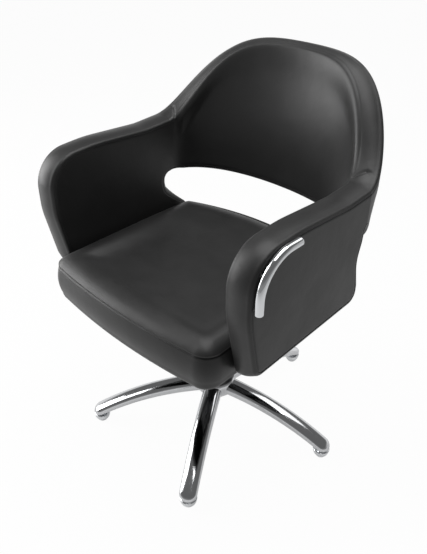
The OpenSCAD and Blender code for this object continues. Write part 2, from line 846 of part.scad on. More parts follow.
function back_ring(a) =
    let (
        t = back_wall(a),
        high = back_edge(a),
        r = mix(arm_edge_r, back_roll_r, back_rise(a)),
        low_t = t - low_taper * taper_share(a),
        low_depths = edge_depths(arm_edge_r, low_t),
        high_depths = edge_depths(r, t),
        last = len(low_depths) - 1
    )
    concat(
        [for (d = low_depths) back_point(a, d,
            slot_top + edge_inset(d, arm_edge_r, low_t) + slot_rise * rise_share(a) * d / low_t)],
        [back_point(a, t, min(slot_top + taper_rise, high - 2 * r))],
        [for (i = [0:last])
            let (d = high_depths[last - i])
            back_point(a, d, high - edge_inset(d, r, t))],
        [for (i = [0:len(face_shares) - 1])
            let (s = face_shares[len(face_shares) - 1 - i])
            back_point(a, -face_bulge(s, a), mix(slot_top, high, s))]);

back_rings = [for (i = [0:back_stations]) back_ring(180 - 180 * i / back_stations)];

function core_ring(a) =
    let (
        inner = (back_wall(a) - core_t) / 2 - core_shift * taper_share(a),
        low = slot_top + core_margin + core_rise * rise_share(a),
        high = mix(core_top, back_top - back_roll_r - core_margin, back_rise(a))
    )
    [back_point(a, inner, low), back_point(a, inner + core_t, low),
        back_point(a, inner + core_t, high), back_point(a, inner, high)];

core_rings = [for (i = [0:back_stations]) core_ring(180 - 180 * i / back_stations)];
cavity_rings = concat(
    [[for (p = core_rings[0]) p - [0, over, 0]]],
    core_rings,
    [[for (p = core_rings[back_stations]) p - [0, over, 0]]]);

module at_dowels() {
    for (z = [dowel_low, dowel_high])
        translate([arm_in + wall_t / 2, seam_y, z]) rotate([90, 0, 0]) children();
}

module core_dowels() {
    color("burlywood") for (side = [0, 1]) mirror([side, 0, 0]) at_dowels()
        cylinder(r = dowel_r, h = 2 * dowel_half, center = true, $fn = steps);
}

module back_core() {
    color("burlywood") difference() {
        skin(core_rings);
        for (side = [0, 1]) mirror([side, 0, 0]) at_dowels()
            cylinder(r = dowel_r + fit, h = 2 * (dowel_half + fit), center = true, $fn = steps);
    }
}

module back_pad() {
    color("#2b2b2d") difference() {
        skin(back_rings);
        skin(cavity_rings);
    }
}

// Bar

module arm_bar() {
    color("silver") difference() {
        union() {
            translate([bar_x, bar_turn_y, bar_top]) rotate([-90, 0, 0])
                cylinder(r = bar_r, h = bar_level, $fn = steps);
            translate([bar_x, bar_front, bar_turn_z - bar_drop])
                cylinder(r = bar_r, h = bar_drop, $fn = steps);
            translate([bar_x, bar_turn_y, bar_turn_z]) rotate([90, 0, 90]) rotate([0, 0, 90])
                rotate_extrude(angle = 90, $fn = steps) translate([bar_bend_r, 0]) circle(r = bar_r);
        }
        at_studs() translate([0, 0, core_t - stud_grip])
            cylinder(r = stud_r + fit, h = stud_h + fit, $fn = steps);
    }
}

module bar_studs() {
    color("silver") at_studs() translate([0, 0, core_t - stud_grip])
        cylinder(r = stud_r, h = stud_h, $fn = steps);
}

hub();
leg(1);  // leg_1
leg(2);  // leg_2
leg(3);  // leg_3
leg(4);  // leg_4
leg(5);  // leg_5
leg_bolts();
glide(1);  // glide_1
glide(2);  // glide_2
glide(3);  // glide_3
glide(4);  // glide_4
glide(5);  // glide_5
glide_pads();
pump_body();
gland_nut();
piston_seal();
pedal_pin();
pedal_arm();
pedal_pad();
piston();
column_cover();
swivel_washer();
seat_plate();
plate_bolts();
seat_board();
seat_cushion();
bracket();  // left_bracket
mirror([1, 0, 0]) bracket();  // right_bracket
bracket_bolts();
arm_core(true);  // left_arm_core
mirror([1, 0, 0]) arm_core(false);  // right_arm_core
arm_pad(true);  // left_arm_pad
mirror([1, 0, 0]) arm_pad(false);  // right_arm_pad
core_dowels();
back_core();
back_pad();
arm_bar();
bar_studs();
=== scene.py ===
import logging
import math
from dataclasses import dataclass
from enum import Enum

import bpy
import numpy as np
from mathutils import Matrix, Vector


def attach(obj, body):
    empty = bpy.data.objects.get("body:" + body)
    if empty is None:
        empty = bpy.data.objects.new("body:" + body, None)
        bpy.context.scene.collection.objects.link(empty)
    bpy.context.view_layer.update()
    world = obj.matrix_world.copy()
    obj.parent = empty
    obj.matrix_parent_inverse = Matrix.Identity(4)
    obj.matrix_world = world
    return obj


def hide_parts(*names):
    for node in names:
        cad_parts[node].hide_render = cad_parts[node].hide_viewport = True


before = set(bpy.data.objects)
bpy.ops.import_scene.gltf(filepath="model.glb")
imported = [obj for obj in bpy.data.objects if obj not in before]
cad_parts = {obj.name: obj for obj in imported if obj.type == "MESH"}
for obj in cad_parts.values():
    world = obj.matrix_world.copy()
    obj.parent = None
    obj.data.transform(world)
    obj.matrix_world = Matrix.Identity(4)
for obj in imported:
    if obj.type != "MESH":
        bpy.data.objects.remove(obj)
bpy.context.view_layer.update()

LOG = logging.getLogger("hairdressing_chair")
MM = 0.001
# A size, or an array of sizes that are worked out together
Value = float | np.ndarray


class Side(Enum):
    """Side of the chair, by the sign of X: the sitter's left arm is at +X."""

    LEFT = 1
    RIGHT = -1


class Panel(Enum):
    """Face of an arm: the panel towards the sitter, or the one on the outside."""

    INNER = "inner"
    OUTER = "outer"


# ---------------------------------------------------------------- shape helpers


def mix(a: Value, b: Value, share: Value) -> Value:
    """Value at a share of the way from a to b."""
    return a + (b - a) * share


def smooth(x: Value, low: float, high: float) -> Value:
    """Smooth step of x from 0 at low to 1 at high."""
    t = np.clip((np.asarray(x, float) - low) / (high - low), 0.0, 1.0)
    return t * t * (3 - 2 * t)


def power_curve(v: Value, n: float) -> Value:
    """Signed power that turns a circle's sine or cosine into a superellipse's."""
    return np.sign(v) * np.abs(v) ** (2.0 / n)


def arc_steps(count: int) -> np.ndarray:
    """Angles of a quarter turn, in radians."""
    return np.linspace(0, math.pi / 2, count)


def placed(bends: tuple, along: float, up: float) -> list:
    """Corners of an outline from (along, up, rounding) bends that are counted from a place."""
    return [(along + y, up + z, r) for y, z, r in bends]


def corner_arc(a: np.ndarray, b: np.ndarray, c: np.ndarray, r: float, count: int) -> list:
    """Points of the arc that rounds corner b between a and c.

    Args:
        a: point before the corner.
        b: the corner.
        c: point after the corner.
        r: radius.
        count: number of steps.

    Returns:
        count + 1 points.
    """
    to_a, to_c = (a - b) / np.linalg.norm(a - b), (c - b) / np.linalg.norm(c - b)
    half = math.acos(float(np.clip(to_a @ to_c, -1, 1))) / 2
    way = to_a + to_c
    centre = b + way / np.linalg.norm(way) * r / math.sin(half)
    start = b + to_a * r / math.tan(half) - centre
    end = b + to_c * r / math.tan(half) - centre
    turn = math.pi - 2 * half
    return [
        centre + (math.sin(turn * (1 - i / count)) * start + math.sin(turn * i / count) * end) / math.sin(turn)
        for i in range(count + 1)
    ]


def rounded_outline(corners: list, arc: int, straight: int) -> np.ndarray:
    """Closed outline whose corners are rounded and whose straight runs are divided.

    Args:
        corners: (x, y, radius) for each corner, anticlockwise.
        arc: steps on each rounded corner.
        straight: steps on each straight run.

    Returns:
        An (n, 2) array, starting at the first corner.
    """
    bends = []
    for i, (x, y, r) in enumerate(corners):
        here = np.array([x, y], float)
        before = np.array(corners[i - 1][:2], float)
        after = np.array(corners[(i + 1) % len(corners)][:2], float)
        bends.append([here] if r == 0 else corner_arc(before, here, after, r, arc))
    out = []
    for i, bend in enumerate(bends):
        out += bend
        start, end = bend[-1], bends[(i + 1) % len(bends)][0]
        out += [mix(start, end, s / straight) for s in range(1, straight)]
    return np.array(out)


def inward_normals(outline: np.ndarray) -> np.ndarray:
    """Directions into an outline.

    Args:
        outline: (n, 2) points, anticlockwise.

    Returns:
        A unit vector at each point.
    """
    along = np.roll(outline, -1, 0) - np.roll(outline, 1, 0)
    along /= np.linalg.norm(along, axis=1, keepdims=True)
    return np.stack([-along[:, 1], along[:, 0]], 1)


def eased(profile: list, r: float, steps: int = 5) -> list:
    """Profile whose inner corners are rounded.

    Args:
        profile: (radius, height) points.
        r: rounding radius in mm.
        steps: steps on each corner.

    Returns:
        The denser profile.
    """
    # A corner takes less than half of each side, so that two of them never meet
    most = 0.45
    out = [profile[0]]
    for i in range(1, len(profile) - 1):
        a, b, c = (np.array(profile[k], float) for k in (i - 1, i, i + 1))
        reach = min(r, np.linalg.norm(a - b) * most, np.linalg.norm(c - b) * most)
        start = b + (a - b) / np.linalg.norm(a - b) * reach
        end = b + (c - b) / np.linalg.norm(c - b) * reach
        for s in range(steps + 1):
            t = s / steps
            out.append(tuple((1 - t) ** 2 * start + 2 * t * (1 - t) * b + t * t * end))
    out.append(profile[-1])
    return out


@dataclass
class Mesh:
    """Points in mm, and faces, that are collected before they become an object."""

    points: list
    faces: list

    @staticmethod
    def loft(rings: np.ndarray) -> "Mesh":
        """Quads through closed rings of points.

        Args:
            rings: an (m, n, 3) array in mm.

        Returns:
            The mesh, with open ends.
        """
        m, n = rings.shape[:2]
        faces = [
            (i * n + j, i * n + (j + 1) % n, (i + 1) * n + (j + 1) % n, (i + 1) * n + j)
            for i in range(m - 1)
            for j in range(n)
        ]
        return Mesh([tuple(p) for p in rings.reshape(-1, 3)], faces)

    @staticmethod
    def closed(rings: np.ndarray, steps: int = 1) -> "Mesh":
        """Quads through closed rings, with both ends closed towards their middles.

        Args:
            rings: an (m, n, 3) array in mm.
            steps: rings between an end's edge and its middle.

        Returns:
            The closed mesh.
        """
        solid = Mesh.loft(rings)
        for ring in (0, len(rings) - 1):
            solid.cap(ring, rings.shape[1], rings[ring].mean(0), steps)
        return solid

    @staticmethod
    def turned(profile: list, sides: int = 96) -> "Mesh":
        """Solid turned about Z.

        Args:
            profile: (radius, height) points in mm that start and end on the axis.
            sides: steps round the axis.

        Returns:
            The closed mesh.
        """
        angles = np.linspace(0, 2 * math.pi, sides, endpoint=False)
        rings = np.array([[[r * math.cos(a), r * math.sin(a), z] for a in angles] for r, z in profile[1:-1]])
        solid = Mesh.loft(rings)
        for ring, (r, z) in ((0, profile[0]), (len(rings) - 1, profile[-1])):
            solid.cap(ring, sides, np.array([r, 0, z]), 1)
        return solid

    def cap(self, ring: int, count: int, centre: np.ndarray, steps: int) -> None:
        """Closes an end ring with smaller rings and a middle point.

        Args:
            ring: index of the ring; the faces on ring 0 turn the other way than those on the last one.
            count: points in a ring.
            centre: middle point in mm.
            steps: rings between the edge and the middle.
        """
        edge = np.array(self.points[ring * count : (ring + 1) * count])
        outer = ring * count
        faces = []
        for s in range(1, steps):
            inner = len(self.points)
            self.points += [tuple(p) for p in mix(edge, centre, s / steps)]
            faces += [(outer + j, outer + (j + 1) % count, inner + (j + 1) % count, inner + j) for j in range(count)]
            outer = inner
        middle = len(self.points)
        self.points.append(tuple(centre))
        faces += [(outer + j, outer + (j + 1) % count, middle) for j in range(count)]
        self.faces += [face[::-1] for face in faces] if ring == 0 else faces

    def build(self, name: str, crease_deg: float = 50.0) -> bpy.types.Object:
        """Makes the object, in metres, smooth but for its sharp edges.

        Args:
            name: the object's name.
            crease_deg: edges that bend more than this stay sharp.

        Returns:
            The new object.
        """
        data = bpy.data.meshes.new(name)
        data.from_pydata([tuple(c * MM for c in p) for p in self.points], [], self.faces)
        data.validate()
        data.shade_smooth()
        data.set_sharp_from_angle(angle=math.radians(crease_deg))
        piece = bpy.data.objects.new(name, data)
        bpy.context.scene.collection.objects.link(piece)
        outward(piece)
        return piece


def outward(piece: bpy.types.Object) -> None:
    """Turns the faces of a closed mesh outwards, so that its volume is positive.

    Args:
        piece: the object, whose faces all turn the same way.
    """
    co = np.array([v.co for v in piece.data.vertices])
    volume = 0.0
    for poly in piece.data.polygons:
        v = [co[i] for i in poly.vertices]
        volume += sum(v[0] @ np.cross(v[k], v[k + 1]) for k in range(1, len(v) - 1))
    if volume < 0:
        piece.data.flip_normals()


# ---------------------------------------------------------------- finishes


def linear(code: str) -> tuple:
    """Linear colour of an sRGB hex code.

    Args:
        code: such as "#2b2b2d".

    Returns:
        (r, g, b, 1).
    """
    parts = [int(code[i : i + 2], 16) / 255 for i in (1, 3, 5)]
    return tuple(c / 12.92 if c <= 0.04045 else ((c + 0.055) / 1.055) ** 2.4 for c in parts) + (1.0,)


def add(tree: bpy.types.NodeTree, kind: str, settings: dict | None = None, **sockets: object) -> bpy.types.Node:
    """Adds a node with its settings, values and links.

    Args:
        tree: node tree.
        kind: node type.
        settings: properties of the node.
        **sockets: input values, or the output sockets to link. An underscore stands for a space, and i6 for
            input number 6, where inputs share a name.

    Returns:
        The node.
    """
    node = tree.nodes.new(kind)
    for key, value in (settings or {}).items():
        setattr(node, key, value)
    for key, value in sockets.items():
        numbered = key[0] == "i" and key[1:].isdigit()
        socket = node.inputs[int(key[1:]) if numbered else key.replace("_", " ")]
        if isinstance(value, bpy.types.NodeSocket):
            tree.links.new(value, socket)
        else:
            socket.default_value = value
    return node


def new_material(name: str) -> tuple:
    """Empty material.

    Args:
        name: the material's name.

    Returns:
        (material, its node tree, an object-space coordinate socket in metres).
    """
    material = bpy.data.materials.new(name)
    material.use_nodes = True
    tree = material.node_tree
    tree.nodes.clear()
    place = add(tree, "ShaderNodeTexCoord").outputs["Object"]
    return material, tree, place


@dataclass(frozen=True)
class Leatherette:
    """Black polyurethane leatherette, embossed with a fine grain and pulled over foam.

    It gives the eye a near black with a soft, broad sheen that follows the padding.
    """

    name: str = "leatherette_black"
    colour: str = "#222222"
    worn: str = "#292929"
    # Pebbles of the embossed skin, drawn a little coarser than life so that they show
    grain_mm: float = 1.6
    grain_depth_mm: float = 0.3
    grain_strength: float = 0.16
    # Slow swell of foam under a stretched skin
    pull_mm: float = 55.0
    pull_depth_mm: float = 4.0
    pull_strength: float = 0.25
    roughness: float = 0.44
    roughness_spread: float = 0.03
    spread_span: tuple = (0.3, 0.7)
    ior: float = 1.46
    sheen: float = 0.05
    sheen_roughness: float = 0.5

    def material(self) -> bpy.types.Material:
        """Builds the material.

        Returns:
            The material.
        """
        material, tree, place = new_material(self.name)
        pull = add(tree, "ShaderNodeTexNoise", Vector=place, Scale=1 / (self.pull_mm * MM), Detail=3.0)
        tint = add(
            tree, "ShaderNodeMix", {"data_type": "RGBA"}, Factor=pull.outputs["Fac"], i6=linear(self.colour),
            i7=linear(self.worn),
        )
        gloss = add(
            tree, "ShaderNodeMapRange", Value=pull.outputs["Fac"], From_Min=self.spread_span[0],
            From_Max=self.spread_span[1], To_Min=self.roughness - self.roughness_spread,
            To_Max=self.roughness + self.roughness_spread,
        )
        pebbles = add(
            tree, "ShaderNodeTexVoronoi", {"feature": "SMOOTH_F1"}, Vector=place, Scale=1 / (self.grain_mm * MM)
        )
        grain = add(
            tree, "ShaderNodeBump", Strength=self.grain_strength, Distance=self.grain_depth_mm * MM,
            Height=pebbles.outputs["Distance"],
        )
        swell = add(
            tree, "ShaderNodeBump", Strength=self.pull_strength, Distance=self.pull_depth_mm * MM,
            Height=pull.outputs["Fac"], Normal=grain.outputs["Normal"],
        )
        shader = add(
            tree, "ShaderNodeBsdfPrincipled", Base_Color=tint.outputs[2], Roughness=gloss.outputs["Result"],
            Normal=swell.outputs["Normal"], IOR=self.ior, Sheen_Weight=self.sheen,
            Sheen_Roughness=self.sheen_roughness,
        )
        add(tree, "ShaderNodeOutputMaterial", Surface=shader.outputs["BSDF"])
        return material


@dataclass(frozen=True)
class BrightMetal:
    """Polished or plated metal: mirror sharp, with faint wiping marks that soften it here and there."""

    name: str
    colour: str
    roughness: float
    haze: float = 0.05
    # Width of a stroke of the wiping cloth
    marks_mm: float = 14.0
    marks_span: tuple = (0.35, 0.75)

    def material(self) -> bpy.types.Material:
        """Builds the material.

        Returns:
            The material.
        """
        material, tree, place = new_material(self.name)
        wipe = add(tree, "ShaderNodeTexNoise", Vector=place, Scale=1 / (self.marks_mm * MM), Detail=5.0)
        haze = add(
            tree, "ShaderNodeMapRange", Value=wipe.outputs["Fac"], From_Min=self.marks_span[0],
            From_Max=self.marks_span[1], To_Min=self.roughness, To_Max=self.roughness + self.haze,
        )
        shader = add(
            tree, "ShaderNodeBsdfPrincipled", Base_Color=linear(self.colour), Metallic=1.0,
            Roughness=haze.outputs["Result"],
        )
        add(tree, "ShaderNodeOutputMaterial", Surface=shader.outputs["BSDF"])
        return material


@dataclass(frozen=True)
class CoatedSurface:
    """Paint, rubber, nylon or zinc plate: one colour with a fine texture of its own."""

    name: str
    colour: str
    second: str
    roughness: float
    metallic: float
    texture_mm: float
    relief_mm: float
    relief_strength: float = 0.3

    def material(self) -> bpy.types.Material:
        """Builds the material.

        Returns:
            The material.
        """
        material, tree, place = new_material(self.name)
        speckle = add(tree, "ShaderNodeTexNoise", Vector=place, Scale=1 / (self.texture_mm * MM), Detail=4.0)
        tint = add(
            tree, "ShaderNodeMix", {"data_type": "RGBA"}, Factor=speckle.outputs["Fac"], i6=linear(self.colour),
            i7=linear(self.second),
        )
        relief = add(
            tree, "ShaderNodeBump", Strength=self.relief_strength, Distance=self.relief_mm * MM,
            Height=speckle.outputs["Fac"],
        )
        shader = add(
            tree, "ShaderNodeBsdfPrincipled", Base_Color=tint.outputs[2], Metallic=self.metallic,
            Roughness=self.roughness, Normal=relief.outputs["Normal"],
        )
        add(tree, "ShaderNodeOutputMaterial", Surface=shader.outputs["BSDF"])
        return material


@dataclass(frozen=True)
class Plywood:
    """Beech plywood, sawn and sanded, unvarnished: dull, with long grain."""

    name: str = "beech_plywood"
    pale: str = "#c9a77a"
    dark: str = "#a67f52"
    # Width of a fibre's streak, and how many times longer it is
    grain_mm: float = 9.0
    stretch: float = 12.0
    waviness: float = 0.6
    relief_mm: float = 0.3
    relief_strength: float = 0.2
    roughness: float = 0.7

    def material(self) -> bpy.types.Material:
        """Builds the material.

        Returns:
            The material.
        """
        material, tree, place = new_material(self.name)
        drawn = add(tree, "ShaderNodeMapping", Vector=place, Scale=(1.0, self.stretch, 1.0))
        fibre = add(
            tree, "ShaderNodeTexNoise", Vector=drawn.outputs["Vector"],
            Scale=1 / (self.grain_mm * MM * self.stretch), Detail=6.0, Distortion=self.waviness,
        )
        tint = add(
            tree, "ShaderNodeMix", {"data_type": "RGBA"}, Factor=fibre.outputs["Fac"], i6=linear(self.pale),
            i7=linear(self.dark),
        )
        relief = add(
            tree, "ShaderNodeBump", Strength=self.relief_strength, Distance=self.relief_mm * MM,
            Height=fibre.outputs["Fac"],
        )
        shader = add(
            tree, "ShaderNodeBsdfPrincipled", Base_Color=tint.outputs[2], Roughness=self.roughness,
            Normal=relief.outputs["Normal"],
        )
        add(tree, "ShaderNodeOutputMaterial", Surface=shader.outputs["BSDF"])
        return material


class Finishes:
    """All materials of the chair, built once."""

    def __init__(self) -> None:
        """Builds the materials in order."""
        self.leatherette = Leatherette().material()
        # Cast aluminium, ground and buffed to a mirror: neutral grey, a touch darker than chrome
        self.aluminium = BrightMetal("aluminium_polished", "#d6d7d9", roughness=0.1).material()
        # Chrome over nickel on steel tube: the brightest and sharpest mirror on the chair
        self.chrome = BrightMetal("chrome_plate", "#dfe1e3", roughness=0.07).material()
        # Paint sprayed and baked on steel: an even, half-matt black with a fine orange peel
        self.painted = CoatedSurface(
            "steel_painted_black", "#1b1b1c", "#232324", roughness=0.42, metallic=0.0, texture_mm=2.5, relief_mm=0.05
        ).material()
        # Zinc plated on steel in a barrel: a dull, pale grey metal with faint clouds
        self.zinc = CoatedSurface(
            "steel_zinc_plated", "#b3b4b2", "#a3a5a6", roughness=0.34, metallic=1.0, texture_mm=6.0, relief_mm=0.02
        ).material()
        # Moulded rubber: matt black with a fine pitted skin
        self.rubber = CoatedSurface(
            "rubber_moulded", "#1a1a1a", "#222221", roughness=0.68, metallic=0.0, texture_mm=1.2, relief_mm=0.12
        ).material()
        # Nylon turned on a lathe: creamy white and waxy
        self.nylon = CoatedSurface(
            "nylon_turned", "#e2dccb", "#d8d1bf", roughness=0.45, metallic=0.0, texture_mm=3.0, relief_mm=0.04
        ).material()
        # Bare beech plywood of the cores: pale and dull
        self.plywood = Plywood().material()
        # The board under the seat is the same plywood stained black, so it doesn't show under the chair
        self.stained = Plywood("beech_plywood_stained", "#2a2827", "#1d1c1b").material()


def dress(piece: bpy.types.Object, material: bpy.types.Material) -> None:
    """Gives a piece its one material."""
    piece.data.materials.clear()
    piece.data.materials.append(material)


# ---------------------------------------------------------------- upholstery


@dataclass
class Upholstery:
    """Sizes that the arms and the back share, in mm."""

    arm_in: float = 242.0
    wall: float = 57.0
    seam_y: float = 100.0
    slot_top: float = 572.0
    slot_rise: float = 56.0
    seam_top: float = 704.0
    # Outer panel down into its sewn groove, as (depth from the outer face, inset from the outline)
    outer_groove: tuple = (
        (0, 38), (0, 26), (0, 16), (0, 11.5), (0.3, 10), (1.2, 9.0), (1.7, 8.2), (1.2, 7.4), (0.5, 6.6)
    )
    # Inner panel up out of its own, as (depth from the inner face, inset)
    inner_groove: tuple = (
        (0.3, 7.8), (0.7, 8.5), (0.9, 9.2), (0.7, 10), (0.2, 11), (0, 12.5), (0, 17), (0, 26), (0, 38)
    )
    band_set_in: float = 0.6
    outer_turn_rise: float = 6.2
    inner_turn: float = 9.0
    inner_turn_rise: float = 7.2
    arm_turn: float = 8.0
    arm_crown: float = 2.6
    crown_span: tuple = (0.08, 0.92)

    def outer_half(self, wall: float, turn: float, end: float, crown: float) -> list:
        """Profile from the outer panel over its groove and the crown of the band.

        Args:
            wall: thickness there.
            turn: width of the band's outer rounding.
            end: depth at which the crown ends.
            crown: how far the band's middle stands proud.

        Returns:
            (depth from the inner face, inset from the outline) points.
        """
        start = wall - self.band_set_in
        panel = [(wall - depth, inset) for depth, inset in self.outer_groove]
        rounding = [
            (start - turn * (1 - math.cos(a)), self.outer_turn_rise * (1 - math.sin(a))) for a in arc_steps(8)
        ]
        band = [(mix(start - turn, end, s), -crown * 4 * s * (1 - s)) for s in np.linspace(*self.crown_span, 9)]
        return panel + rounding + band

    def arm_edge(self) -> np.ndarray:
        """Profile over an arm's padded edge, from the outer panel to the inner panel.

        Returns:
            (depth from the inner face, inset from the outline) points.
        """
        end = self.band_set_in + self.inner_turn
        over = self.outer_half(self.wall, self.arm_turn, end, self.arm_crown)
        back = [(end - self.inner_turn * math.sin(a), self.inner_turn_rise * (1 - math.cos(a))) for a in arc_steps(9)]
        return np.array(over + back + list(self.inner_groove))


@dataclass
class ArmPad(Upholstery):
    """Closed padded arm, sewn from an outer panel, a band round the edge and an inner panel."""

    top: float = 703.0
    outer_low: float = 447.0
    inner_low: float = 415.0
    front: float = 239.0
    panel_inset: float = 11.0
    panel_reach: float = 150.0
    panel_rings: int = 3
    heart: tuple = (-30.0, 590.0)
    arcs: int = 18
    runs: int = 10
    # Bends of the outline, as (along, up, rounding): the crest from the seam and the top, the brow from the front
    # and the top, a toe from the front and the lower edge, a heel from the seam and the lower edge, and the rear
    # edge from the seam and the slot's top
    crest: tuple = ((-68.0, -2.7, 190.0), (-212.0, 6.5, 420.0))
    brow: tuple = ((0.0, -0.5, 78.0), (-1.0, -124.0, 190.0))
    inner_toe: tuple = ((32.0, 0.0, 24.0),)
    inner_heel: tuple = ((50.0, 0.0, 24.0),)
    inner_rear: tuple = ((50.0, -100.0, 20.0), (-24.0, -41.0, 42.0), (-24.0, 0.0, 18.0))
    outer_toe: tuple = ((24.0, 0.0, 24.0),)
    outer_heel: tuple = ((0.0, 10.0, 25.0),)
    outer_rear: tuple = ((-1.0, -77.0, 32.0), (-13.0, -15.0, 90.0), (-3.0, 24.0, 30.0))

    def outline(self, panel: Panel) -> np.ndarray:
        """Outline of a face from the side.

        Args:
            panel: which face.

        Returns:
            (y, z) points, anticlockwise, from the foot of the seam.
        """
        if panel is Panel.INNER:
            foot, low = self.slot_top, self.inner_low
            toe, heel, rear = self.inner_toe, self.inner_heel, self.inner_rear
        else:
            foot, low = self.slot_top + self.slot_rise, self.outer_low
            toe, heel, rear = self.outer_toe, self.outer_heel, self.outer_rear
        corners = [(self.seam_y, foot, 0), (self.seam_y, self.seam_top, 0)]
        corners += placed(self.crest, self.seam_y, self.top) + placed(self.brow, -self.front, self.top)
        corners += placed(toe, -self.front, low) + placed(heel, self.seam_y, low)
        corners += placed(rear, self.seam_y, self.slot_top)
        return rounded_outline(corners, self.arcs, self.runs)

    def ring(self, depth: float, inset: float) -> np.ndarray:
        """Points round the arm at one depth and inset.

        Args:
            depth: distance from the inner face.
            inset: distance inside the outline.

        Returns:
            (x, y, z) points in mm.
        """
        line = mix(self.outline(Panel.INNER), self.outline(Panel.OUTER), depth / self.wall)
        moved = line + inward_normals(line) * min(inset, self.panel_inset)
        seam = np.arange(self.runs + 1)
        moved[seam, 0] = self.seam_y
        moved[seam, 1] = np.linspace(line[0, 1] + inset, self.seam_top - inset, len(seam))
        if inset > self.panel_inset:
            rest = np.arange(self.runs + 1, len(moved))
            moved[rest] = mix(moved[rest], np.array(self.heart), (inset - self.panel_inset) / self.panel_reach)
        return np.column_stack([np.full(len(moved), self.arm_in + depth), moved])

    def build(self, side: Side, finishes: Finishes) -> bpy.types.Object:
        """Makes one arm.

        Args:
            side: which arm.
            finishes: the chair's materials.

        Returns:
            The padded piece.
        """
        rings = np.array([self.ring(depth, inset) for depth, inset in self.arm_edge()])
        solid = Mesh.loft(rings)
        for ring, depth in ((0, self.wall), (len(rings) - 1, 0.0)):
            heart = np.array([self.arm_in + depth, *self.heart])
            solid.cap(ring, rings.shape[1], heart, self.panel_rings)
        solid.points = [(x * side.value, y, z) for x, y, z in solid.points]
        word = side.name.lower()
        piece = solid.build(f"{word}_arm_upholstery")
        dress(piece, finishes.leatherette)
        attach(piece, "seat")
        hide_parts(f"{word}_arm_pad")
        return piece


